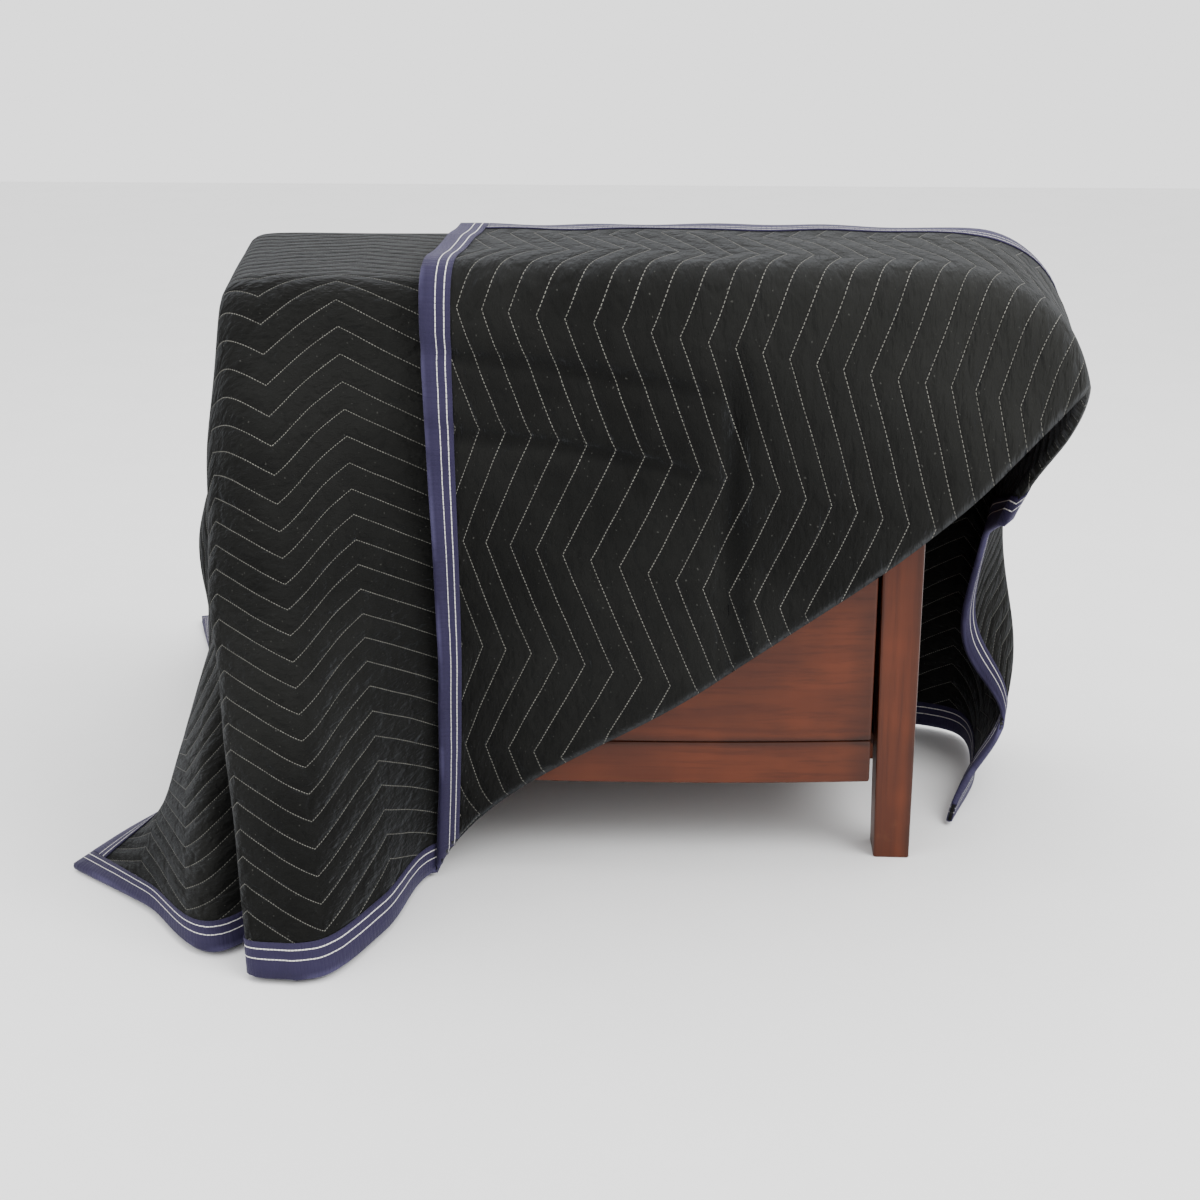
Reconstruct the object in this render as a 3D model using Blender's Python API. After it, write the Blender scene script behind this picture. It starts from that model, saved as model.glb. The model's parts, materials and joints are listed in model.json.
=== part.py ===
"""A quilted moving blanket draped over a plain bow-front chest, with one front corner folded back over it.

Metres, +Z up. X runs along the chest, Y from its front to its back, and the floor is at Z 0.
The origin is on the floor, under the middle of the whole object's bounding box.
"""
import bmesh
import bpy
import numpy as np

# The blanket, flat: s runs along its length from the left hem, t across it from the front hem.
LENGTH = 2.032
WIDTH = 1.8288
CELL = 0.0508
COLS = 40
ROWS = 36
THICK = 0.0045
FOLD_COL = 20            # the fold leaves the front hem here and runs at 45 degrees across the cloth
LAYER_AT_FOLD = 0.009    # between the middles of the two layers
LAYER_AT_HEM = 0.020
LAYER_GROWS = 8.0        # cells

# The binding tape, folded over all four hems
TAPE_WIDTH = 0.036
TAPE_THICK = 0.0012
TAPE_GAP = 0.0006
TAPE_END_GAP = 0.0008

# The chest
CHEST_X = 0.030
HALF_LONG = 0.390
FRONT_Y = -0.186
BACK_Y = 0.172
BOW = 0.023
TOP_Z = 0.6912
BOARD = 0.022
PANEL = 0.018
APRON_Z = 0.100
GROOVE_Z = 0.153
GROOVE = 0.0003
LEG_WIDE = 0.052
LEG_DEEP = 0.064
LEG_FOOT = 0.82
APART = 0.0003
BOW_STEPS = 16
CORNER = 0.050             # radius of the top board's front corners
CORNER_STEPS = 5

# The middle of the footprint, before it is moved to the origin
CENTRE_X = -0.0250
CENTRE_Y = 0.05645

# Places of the cloth's middle surface. Each row is one column of cells (col), and each entry one line of
# cells across it: "front" is the front hem, "shin" and "knee" hang below the top's front edge "brow",
# "nape" is its back edge, and "calf" and "back" hang behind. Both edges are creases.
LINES = {"front": 0, "shin": 5, "knee": 10, "brow": 14, "nape": 22, "calf": 29, "back": 36}
CREASE_LINES = (14, 22)
CREASE_COLS = (14, 31)
DRAPE = [
    {"col": 0, "front": (-0.577, -0.273, 0.006), "shin": (-0.494, -0.045, 0.006),
     "knee": (-0.512, 0.090, 0.006), "brow": (-0.515, 0.150, 0.006),
     "nape": (-0.545, 0.330, 0.006), "calf": (-0.590, 0.460, 0.006), "back": (-0.650, 0.625, 0.006)},
    {"col": 3, "front": (-0.465, -0.365, 0.006), "shin": (-0.476, -0.180, 0.085),
     "knee": (-0.482, 0.000, 0.120), "brow": (-0.480, 0.060, 0.150),
     "nape": (-0.492, 0.270, 0.150), "calf": (-0.568, 0.375, 0.120), "back": (-0.600, 0.600, 0.006)},
    {"col": 6, "front": (-0.352, -0.468, 0.006), "shin": (-0.402, -0.310, 0.165),
     "knee": (-0.440, -0.120, 0.260), "brow": (-0.448, -0.040, 0.300),
     "nape": (-0.462, 0.230, 0.300), "calf": (-0.560, 0.335, 0.250), "back": (-0.540, 0.545, 0.006)},
    {"col": 8, "front": (-0.285, -0.352, 0.006), "shin": (-0.358, -0.303, 0.188),
     "knee": (-0.414, -0.188, 0.335), "brow": (-0.428, -0.105, 0.395),
     "nape": (-0.455, 0.208, 0.395), "calf": (-0.550, 0.410, 0.300), "back": (-0.510, 0.560, 0.006)},
    {"col": 10, "front": (-0.258, -0.378, 0.006), "shin": (-0.335, -0.318, 0.212),
     "knee": (-0.394, -0.245, 0.400), "brow": (-0.402, -0.160, 0.490),
     "nape": (-0.446, 0.198, 0.490), "calf": (-0.480, 0.415, 0.335), "back": (-0.475, 0.520, 0.006)},
    {"col": 12, "front": (-0.312, -0.508, 0.006), "shin": (-0.350, -0.405, 0.235),
     "knee": (-0.382, -0.300, 0.450), "brow": (-0.388, -0.212, 0.588),
     "nape": (-0.440, 0.190, 0.595), "calf": (-0.430, 0.310, 0.345), "back": (-0.405, 0.370, 0.006)},
    {"col": 14, "front": (-0.258, -0.528, 0.006), "shin": (-0.300, -0.425, 0.245),
     "knee": (-0.342, -0.310, 0.475), "brow": (-0.374, -0.214, 0.686),
     "nape": (-0.430, 0.190, 0.6945), "calf": (-0.385, 0.238, 0.345), "back": (-0.345, 0.280, 0.006)},
    {"col": 15, "front": (-0.230, -0.515, 0.006), "shin": (-0.268, -0.420, 0.245),
     "knee": (-0.306, -0.306, 0.475), "brow": (-0.334, -0.219, 0.696),
     "nape": (-0.381, 0.189, 0.696), "calf": (-0.350, 0.232, 0.345), "back": (-0.322, 0.262, 0.006)},
    {"col": 17, "front": (-0.185, -0.415, 0.006), "shin": (-0.220, -0.352, 0.250),
     "knee": (-0.248, -0.280, 0.487), "brow": (-0.268, -0.225, 0.697),
     "nape": (-0.280, 0.187, 0.696), "calf": (-0.275, 0.218, 0.345), "back": (-0.268, 0.240, 0.006)},
    {"col": 20, "front": (-0.148, -0.262, 0.006), "shin": (-0.142, -0.252, 0.250),
     "knee": (-0.144, -0.243, 0.493), "brow": (-0.146, -0.232, 0.698),
     "nape": (-0.138, 0.186, 0.697), "calf": (-0.130, 0.210, 0.345), "back": (-0.130, 0.225, 0.006)},
    {"col": 26, "front": (0.180, -0.262, 0.000), "shin": (0.172, -0.254, 0.225),
     "knee": (0.172, -0.243, 0.477), "brow": (0.172, -0.232, 0.699),
     "nape": (0.180, 0.186, 0.700), "calf": (0.180, 0.212, 0.345), "back": (0.180, 0.230, 0.006)},
    {"col": 31, "front": (0.430, -0.258, -0.020), "shin": (0.425, -0.254, 0.200),
     "knee": (0.430, -0.248, 0.440), "brow": (0.438, -0.228, 0.696),
     "nape": (0.455, 0.190, 0.700), "calf": (0.445, 0.215, 0.345), "back": (0.440, 0.235, 0.006)},
    {"col": 32, "front": (0.490, -0.256, -0.050), "shin": (0.480, -0.254, 0.175),
     "knee": (0.478, -0.252, 0.425), "brow": (0.482, -0.236, 0.690),
     "nape": (0.504, 0.190, 0.698), "calf": (0.478, 0.225, 0.340), "back": (0.460, 0.240, 0.006)},
    {"col": 34, "front": (0.590, -0.250, -0.110), "shin": (0.580, -0.250, 0.130),
     "knee": (0.558, -0.252, 0.390), "brow": (0.553, -0.248, 0.635),
     "nape": (0.572, 0.188, 0.662), "calf": (0.535, 0.220, 0.330), "back": (0.525, 0.205, 0.006)},
    {"col": 37, "front": (0.660, -0.230, -0.200), "shin": (0.650, -0.230, 0.030),
     "knee": (0.620, -0.230, 0.290), "brow": (0.585, -0.215, 0.510),
     "nape": (0.575, 0.160, 0.500), "calf": (0.552, 0.165, 0.255), "back": (0.525, 0.060, 0.006)},
    {"col": 40, "front": (0.680, -0.210, -0.300), "shin": (0.670, -0.210, -0.100),
     "knee": (0.640, -0.210, 0.150), "brow": (0.556, -0.150, 0.440),
     "nape": (0.530, 0.095, 0.330), "calf": (0.495, 0.080, 0.150), "back": (0.475, -0.090, 0.006)},
]
# Towards the right the cloth is pulled forward over the brow, by up to this many cells.
PULL = 1.1
PULL_COLS = (20, 31)
PULL_LINES = (15, 22)
# Soft upright waves in the hanging cloth: how far they stand out at the hem, and their length in cells.
SIDE_WAVE, SIDE_WAVE_CELLS = 0.024, 5.5
BACK_WAVE, BACK_WAVE_CELLS = 0.014, 6.0
# The right hem kicks out once near the floor.
KICK, KICK_LINE, KICK_HALF = 0.070, 31.5, 2.7

CLOTH_COLOUR = (0.017, 0.018, 0.016)
TAPE_COLOUR = (0.045, 0.036, 0.115)
WOOD_COLOUR = (0.150, 0.050, 0.022)


def col_place(i):
    """s of the cloth's grid line i. The lines beside a hem are the tape's inner edge."""
    moved = {1: TAPE_WIDTH, FOLD_COL + 1: FOLD_COL * CELL + TAPE_WIDTH, COLS - 1: LENGTH - TAPE_WIDTH}
    return moved.get(i, i * CELL)


def row_place(j):
    """t of the cloth's grid line j."""
    moved = {1: TAPE_WIDTH, COLS - FOLD_COL - 1: (COLS - FOLD_COL) * CELL - TAPE_WIDTH,
             ROWS - 1: WIDTH - TAPE_WIDTH}
    return moved.get(j, j * CELL)


def curve(at, knots, places):
    """The point at `at` on a smooth line through places, which it reaches at knots."""
    steps = np.diff(knots)
    slopes = np.diff(places, axis=0) / steps[:, None]
    tangents = np.empty_like(places)
    tangents[0] = slopes[0]
    tangents[-1] = slopes[-1]
    share = (steps[1:] / (steps[1:] + steps[:-1]))[:, None]
    tangents[1:-1] = share * slopes[:-1] + (1 - share) * slopes[1:]
    k = int(np.clip(np.searchsorted(knots, at, side="right") - 1, 0, len(steps) - 1))
    w = (at - knots[k]) / steps[k]
    start = (1 + 2 * w) * (1 - w) ** 2 * places[k] + w * (1 - w) ** 2 * steps[k] * tangents[k]
    end = w * w * (3 - 2 * w) * places[k + 1] - w * w * (1 - w) * steps[k] * tangents[k + 1]
    return start + end


def creased_curve(at, knots, places, creases):
    """The same, with a sharp turn at each crease."""
    low = max([c for c in creases if c <= at], default=knots[0])
    high = min([c for c in creases if c > at], default=knots[-1])
    inside = (knots >= low) & (knots <= high)
    return curve(at, knots[inside], places[inside])


def waves(col, line):
    """How far the folds of the hanging cloth stand from its smooth shape."""
    side = np.clip(1 - col / CREASE_COLS[0], 0, 1) * np.clip(min(line - 6, 30 - line) / 6, 0, 1)
    behind = np.clip((line - CREASE_LINES[1]) / (ROWS - CREASE_LINES[1]), 0, 1)
    kick = np.clip((col - 34) / (COLS - 34), 0, 1) * np.exp(-((line - KICK_LINE) / KICK_HALF) ** 2)
    x = SIDE_WAVE * side * (1 - np.sin(2 * np.pi * line / SIDE_WAVE_CELLS)) + KICK * kick
    fades = np.clip((32 - col) / 3, 0, 1)
    y = BACK_WAVE * behind * (1 + np.sin(2 * np.pi * col / BACK_WAVE_CELLS)) * fades
    return np.array([x, y, 0.0])


def drape(s, t):
    """The place of the cloth's middle at flat (s, t), before the corner is folded back."""
    col = s / CELL
    line = t / CELL
    ramp = np.clip((col - PULL_COLS[0]) / (PULL_COLS[1] - PULL_COLS[0]), 0, 1)
    held = np.clip((PULL_LINES[1] - line) / (PULL_LINES[1] - PULL_LINES[0]), 0, 1)
    line -= PULL * ramp * ramp * (3 - 2 * ramp) * held
    knots = np.array(list(LINES.values()), float)
    cols = np.array([row["col"] for row in DRAPE], float)
    along = []
    for row in DRAPE:
        places = np.array([row[name] for name in LINES], float)
        along.append(creased_curve(line, knots, places, CREASE_LINES))
    return creased_curve(col, cols, np.array(along), CREASE_COLS) + waves(col, line)


def unit(vectors):
    return vectors / np.linalg.norm(vectors, axis=-1, keepdims=True)


def facing(grid):
    """The outward direction at each point of a grid of places, from the triangles round it."""
    total = np.zeros_like(grid)
    across = np.cross(grid[1:, :-1] - grid[:-1, :-1], grid[1:, 1:] - grid[:-1, :-1])
    upward = np.cross(grid[1:, 1:] - grid[:-1, :-1], grid[:-1, 1:] - grid[:-1, :-1])
    sides = ((unit(across), ((0, 0), (1, 0), (1, 1))), (unit(upward), ((0, 0), (1, 1), (0, 1))))
    for normal, corners in sides:
        for i, j in corners:
            total[i:i + normal.shape[0], j:j + normal.shape[1]] += normal
    return unit(total)


def cloth_frame():
    """For each grid point of the cloth: its middle, and the direction of its upper side."""
    smooth = np.array([[drape(col_place(i), row_place(j)) for j in range(ROWS + 1)]
                       for i in range(COLS + 1)])
    outward = facing(smooth)
    middle = smooth.copy()
    upper = outward.copy()
    for i in range(FOLD_COL, COLS + 1):
        for j in range(COLS - FOLD_COL + 1):
            past = i - j - FOLD_COL
            if past < 0:
                continue
            under = (FOLD_COL + j, i - FOLD_COL)
            if past == 0:
                middle[i, j] = smooth[i, j] + outward[i, j] * LAYER_AT_FOLD / 2
                back, up = smooth[i - 1, j] - smooth[i, j], smooth[i, j + 1] - smooth[i, j]
                upper[i, j] = unit(unit(back) + unit(up))
            else:
                lift = LAYER_AT_FOLD + (LAYER_AT_HEM - LAYER_AT_FOLD) * min(1.0, past / LAYER_GROWS)
                middle[i, j] = smooth[under] + outward[under] * lift
                upper[i, j] = -outward[under]
    return middle, upper


def add_object(name, points, faces, material):
    mesh = bpy.data.meshes.new(name)
    mesh.from_pydata([tuple(p) for p in points], [], faces)
    mesh.update()
    obj = bpy.data.objects.new(name, mesh)
    bpy.context.scene.collection.objects.link(obj)
    mesh.materials.append(material)
    return obj


def shell_faces(cells, high, low):
    """Triangles of a closed sheet: cells on both sides, and a wall round their border.

    high and low give the point numbers of a grid point on the two sides."""
    faces = []
    edges = {}
    for i, j in cells:
        corners = [(i, j), (i + 1, j), (i + 1, j + 1), (i, j + 1)]
        for a, b, c in ((0, 1, 2), (0, 2, 3)):
            faces.append((high[corners[a]], high[corners[b]], high[corners[c]]))
            faces.append((low[corners[c]], low[corners[b]], low[corners[a]]))
        for k in range(4):
            a, b = corners[k], corners[(k + 1) % 4]
            edges[(a, b)] = (b, a) not in edges
            if not edges[(a, b)]:
                edges[(b, a)] = False
    for (a, b), open_edge in edges.items():
        if open_edge:
            faces.append((high[a], low[a], low[b]))
            faces.append((high[a], low[b], high[b]))
    return faces


def add_blanket(middle, upper, material):
    high, low, points = {}, {}, []
    for i in range(COLS + 1):
        for j in range(ROWS + 1):
            high[(i, j)] = len(points)
            points.append(middle[i, j] + upper[i, j] * THICK / 2)
            low[(i, j)] = len(points)
            points.append(middle[i, j] - upper[i, j] * THICK / 2)
    cells = [(i, j) for i in range(COLS) for j in range(ROWS)]
    return add_object("blanket", points, shell_faces(cells, high, low), material)


def add_tape(name, hem, inner, rise_hem, rise_inner, flip, rising, material):
    """A tape folded over a hem. hem and inner are the cloth's points along both edges of the tape."""
    near = THICK / 2 + TAPE_GAP
    far = near + TAPE_THICK
    out = unit(hem - inner)
    rings = []
    for k in range(len(hem)):
        start, end = hem[k], inner[k]
        lip, rim = start + out[k] * TAPE_GAP, start + out[k] * (TAPE_GAP + TAPE_THICK)
        rings.append([end + rise_inner[k] * far, rim + rise_hem[k] * far,
                      rim - rise_hem[k] * far, end - rise_inner[k] * far,
                      end - rise_inner[k] * near, lip - rise_hem[k] * near,
                      lip + rise_hem[k] * near, end + rise_inner[k] * near])
    size = len(rings[0])
    points = [p for ring in rings for p in ring]
    faces = []
    for k in range(len(rings) - 1):
        for m in range(size):
            a, b = k * size + m, k * size + (m + 1) % size
            c, d = b + size, a + size
            # Each face is cut along the same diagonal as the cloth that it covers.
            cut = (m in (0, 4)) != flip if m % 2 == 0 else m == (5 if rising else 1)
            if cut:
                faces += [(a, b, d), (b, c, d)]
            else:
                faces += [(a, b, c), (a, c, d)]
    for base, order in ((0, 1), ((len(rings) - 1) * size, -1)):
        for quad in ((0, 1, 6, 7), (1, 2, 5, 6), (2, 3, 4, 5)):
            ring = [base + m for m in quad][::-order]
            faces += [(ring[0], ring[1], ring[2]), (ring[0], ring[2], ring[3])]
    obj = add_object(name, points, faces, material)
    tidy = bmesh.new()
    tidy.from_mesh(obj.data)
    bmesh.ops.recalc_face_normals(tidy, faces=tidy.faces)
    if tidy.calc_volume(signed=True) < 0:
        bmesh.ops.reverse_faces(tidy, faces=tidy.faces)
    tidy.to_mesh(obj.data)
    tidy.free()
    return obj


def add_tapes(middle, upper, material):
    """The long hems' tapes run to the corners, and the short hems' tapes end just inside them."""
    for name, edge, inside, front in (("binding_front", 0, 1, True),
                                      ("binding_back", ROWS, ROWS - 1, False)):
        add_tape(name, middle[:, edge], middle[:, inside], upper[:, edge], upper[:, inside],
                 not front, front, material)
    for name, edge, inside, right in (("binding_left", 0, 1, False),
                                      ("binding_right", COLS, COLS - 1, True)):
        strips = [middle[edge], middle[inside], upper[edge], upper[inside]]
        short = []
        for strip in strips:
            run = strip[1:-1].copy()
            run[0] += (run[1] - run[0]) * TAPE_END_GAP / CELL
            run[-1] += (run[-2] - run[-1]) * TAPE_END_GAP / CELL
            short.append(run)
        add_tape(name, short[0], short[1], short[2], short[3], right, right, material)


def bowed(x):
    """The chest's front, which swells towards its middle. x is from the chest's own middle."""
    return FRONT_Y - BOW * (1 - (x / HALF_LONG) ** 2)


def add_slab(name, outline, low, high, material, soften=0.002):
    """An upright prism over a flat outline, its edges eased."""
    bm = bmesh.new()
    base = [bm.verts.new((x + CHEST_X, y, low)) for x, y in outline]
    face = bm.faces.new(base)
    grown = bmesh.ops.extrude_face_region(bm, geom=[face])["geom"]
    lifted = [item for item in grown if isinstance(item, bmesh.types.BMVert)]
    bmesh.ops.translate(bm, verts=lifted, vec=(0, 0, high - low))
    bmesh.ops.recalc_face_normals(bm, faces=bm.faces)
    if soften:
        sharp = [edge for edge in bm.edges if edge.calc_face_angle() > 0.6]
        bmesh.ops.bevel(bm, geom=sharp, offset=soften, segments=2, affect="EDGES", profile=0.5)
    mesh = bpy.data.meshes.new(name)
    bm.to_mesh(mesh)
    bm.free()
    obj = bpy.data.objects.new(name, mesh)
    bpy.context.scene.collection.objects.link(obj)
    mesh.materials.append(material)
    return obj


def box_outline(x0, x1, y0, y1):
    return [(x0, y0), (x1, y0), (x1, y1), (x0, y1)]


def bow_outline(reach, depth):
    """A curved strip, depth thick, behind the bowed front."""
    xs = np.linspace(-reach, reach, BOW_STEPS + 1)
    front = [(x, bowed(x)) for x in xs]
    rear = [(x, bowed(x) + depth) for x in xs[::-1]]
    return front + rear


def top_outline():
    """The top board from above: a bowed front with round corners, and a square back."""
    straight = HALF_LONG - CORNER
    xs = np.linspace(-straight, straight, BOW_STEPS + 1)
    front = [(x, bowed(x)) for x in xs]
    centre_y = bowed(straight) + CORNER
    turns = np.linspace(0, np.pi / 2, CORNER_STEPS + 1)[1:]
    right = [(straight + CORNER * np.sin(a), centre_y - CORNER * np.cos(a)) for a in turns]
    left = [(-x, y) for x, y in reversed(right)]
    return left + front + right + [(HALF_LONG, BACK_Y), (-HALF_LONG, BACK_Y)]


def add_leg(name, side, front, material):
    """A square leg that tapers on its inner faces towards the foot."""
    outer = side * HALF_LONG
    face_y = bowed(HALF_LONG) if front else BACK_Y
    inward = 1 if front else -1
    top = TOP_Z - BOARD - APART
    obj = add_slab(name, box_outline(-0.5, 0.5, -0.5, 0.5), 0.0, top, material, soften=0.0)
    for vertex in obj.data.vertices:
        narrow = LEG_FOOT + (1 - LEG_FOOT) * min(1.0, vertex.co.z / top)
        across = ((vertex.co.x - CHEST_X) * -side + 0.5) * LEG_WIDE * narrow
        along = (vertex.co.y * inward + 0.5) * LEG_DEEP * narrow
        vertex.co.x = CHEST_X + outer - side * across
        vertex.co.y = face_y + inward * along
    tidy = bmesh.new()
    tidy.from_mesh(obj.data)
    bmesh.ops.recalc_face_normals(tidy, faces=tidy.faces)
    uprights = [edge for edge in tidy.edges if abs(edge.verts[0].co.z - edge.verts[1].co.z) > 0.1]
    bmesh.ops.bevel(tidy, geom=uprights, offset=0.003, segments=2, affect="EDGES", profile=0.5)
    tidy.to_mesh(obj.data)
    tidy.free()
    return obj


def add_chest(material):
    under = TOP_Z - BOARD - APART
    add_slab("top_board", top_outline(), TOP_Z - BOARD, TOP_Z, material, soften=0.007)
    reach = HALF_LONG - LEG_WIDE - APART
    add_slab("front_rail", bow_outline(reach, PANEL), APRON_Z, GROOVE_Z, material, soften=0.003)
    add_slab("front_panel", bow_outline(reach, PANEL), GROOVE_Z + GROOVE, under, material, soften=0.003)
    back_face = BACK_Y - 0.010
    add_slab("back_panel", box_outline(-reach, reach, back_face - PANEL, back_face),
             APRON_Z, under, material)
    side_front = FRONT_Y + LEG_DEEP + APART
    side_back = BACK_Y - LEG_DEEP - APART
    side_out = HALF_LONG - 0.008
    for name, side in (("side_left", -1), ("side_right", 1)):
        xs = sorted((side * side_out, side * (side_out - PANEL)))
        add_slab(name, box_outline(xs[0], xs[1], side_front, side_back), APRON_Z, under, material)
    inside = side_out - PANEL - APART
    add_slab("bottom_board", box_outline(-inside, inside, side_front + 0.001, side_back - 0.001),
             APRON_Z + 0.020, APRON_Z + 0.035, material)
    for name, side, front in (("leg_front_left", -1, True), ("leg_front_right", 1, True),
                              ("leg_back_left", -1, False), ("leg_back_right", 1, False)):
        add_leg(name, side, front, material)


def add_material(name, colour, roughness):
    material = bpy.data.materials.new(name)
    material.use_nodes = True
    shader = material.node_tree.nodes["Principled BSDF"]
    shader.inputs["Base Color"].default_value = (*colour, 1.0)
    shader.inputs["Roughness"].default_value = roughness
    return material


for stale in list(bpy.data.objects):
    bpy.data.objects.remove(stale)

cloth_material = add_material("quilted_cloth", CLOTH_COLOUR, 0.85)
tape_material = add_material("binding_tape", TAPE_COLOUR, 0.6)
wood_material = add_material("stained_wood", WOOD_COLOUR, 0.4)

cloth_middle, cloth_upper = cloth_frame()
add_blanket(cloth_middle, cloth_upper, cloth_material)
add_tapes(cloth_middle, cloth_upper, tape_material)
add_chest(wood_material)

for piece in bpy.data.objects:
    for vertex in piece.data.vertices:
        vertex.co.x -= CENTRE_X
        vertex.co.y -= CENTRE_Y
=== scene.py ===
# %% [markdown]
# A moving blanket is a quilted pad: dark cloth on both faces, wadding between them, rows of pale
# zigzag stitches through all of it, and a tape folded over its four hems. Here it hangs over a low
# bow-front chest, and its front right corner is folded back across the front. The solids already
# give each piece its size and place, so this file adds what they leave out: finer folds, stitching,
# weave, wood grain, light and a camera.

# %% Load the frame
import json
import math
import bpy
import mathutils
import numpy as np
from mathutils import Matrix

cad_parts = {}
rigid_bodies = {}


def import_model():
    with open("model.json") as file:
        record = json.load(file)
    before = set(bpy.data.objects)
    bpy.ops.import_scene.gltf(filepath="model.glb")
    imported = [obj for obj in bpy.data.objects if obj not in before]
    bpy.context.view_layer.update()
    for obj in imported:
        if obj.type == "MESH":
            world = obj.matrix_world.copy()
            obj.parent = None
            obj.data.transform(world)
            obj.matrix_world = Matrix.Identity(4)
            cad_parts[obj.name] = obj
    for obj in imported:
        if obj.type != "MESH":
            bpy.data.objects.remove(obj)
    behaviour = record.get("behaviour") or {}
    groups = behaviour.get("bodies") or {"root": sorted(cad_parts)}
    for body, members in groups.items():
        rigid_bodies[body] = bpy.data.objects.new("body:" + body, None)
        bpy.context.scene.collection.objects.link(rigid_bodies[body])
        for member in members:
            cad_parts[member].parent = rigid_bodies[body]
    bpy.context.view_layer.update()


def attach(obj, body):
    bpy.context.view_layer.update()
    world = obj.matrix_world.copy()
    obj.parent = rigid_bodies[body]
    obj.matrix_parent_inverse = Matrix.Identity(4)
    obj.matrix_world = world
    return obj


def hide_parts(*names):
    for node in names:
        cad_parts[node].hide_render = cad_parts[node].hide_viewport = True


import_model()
for obj in bpy.data.objects:
    obj.select_set(False)

# %% [markdown]
# The camera comes first, because it decides what each later step must show. A long lens, a little
# above the chest and turned slightly to the left, gives the view of someone who stands in front of it.

# %% Camera
MIDDLE_X, MIDDLE_Y = -0.0250, 0.05645
camera_data = bpy.data.cameras.new("camera")
camera_data.lens = 58.5
camera_data.sensor_width = 36.0
camera = bpy.data.objects.new("camera", camera_data)
camera.location = (0.1591 - MIDDLE_X, -2.3451 - MIDDLE_Y, 1.0366)
camera.rotation_euler = (math.radians(90 - 18.3), 0.0, math.radians(3.0))
bpy.context.scene.collection.objects.link(camera)
bpy.context.scene.camera = camera
print("camera at", [round(v, 3) for v in camera.location])

# %% [markdown]
# Cloth keeps its length as it bends, so the blanket is described in its own flat measure: s runs
# along it from the left hem and t across it from the front hem. A short table says where some
# points of that flat sheet hang, and smooth curves through the table fill in the rest. A cloth
# simulation would also drape a sheet, but here each fold has its own place, which the solids share.
# The price is that the sheet's length isn't kept exactly: these folds hold about 82% of its area.

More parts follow.
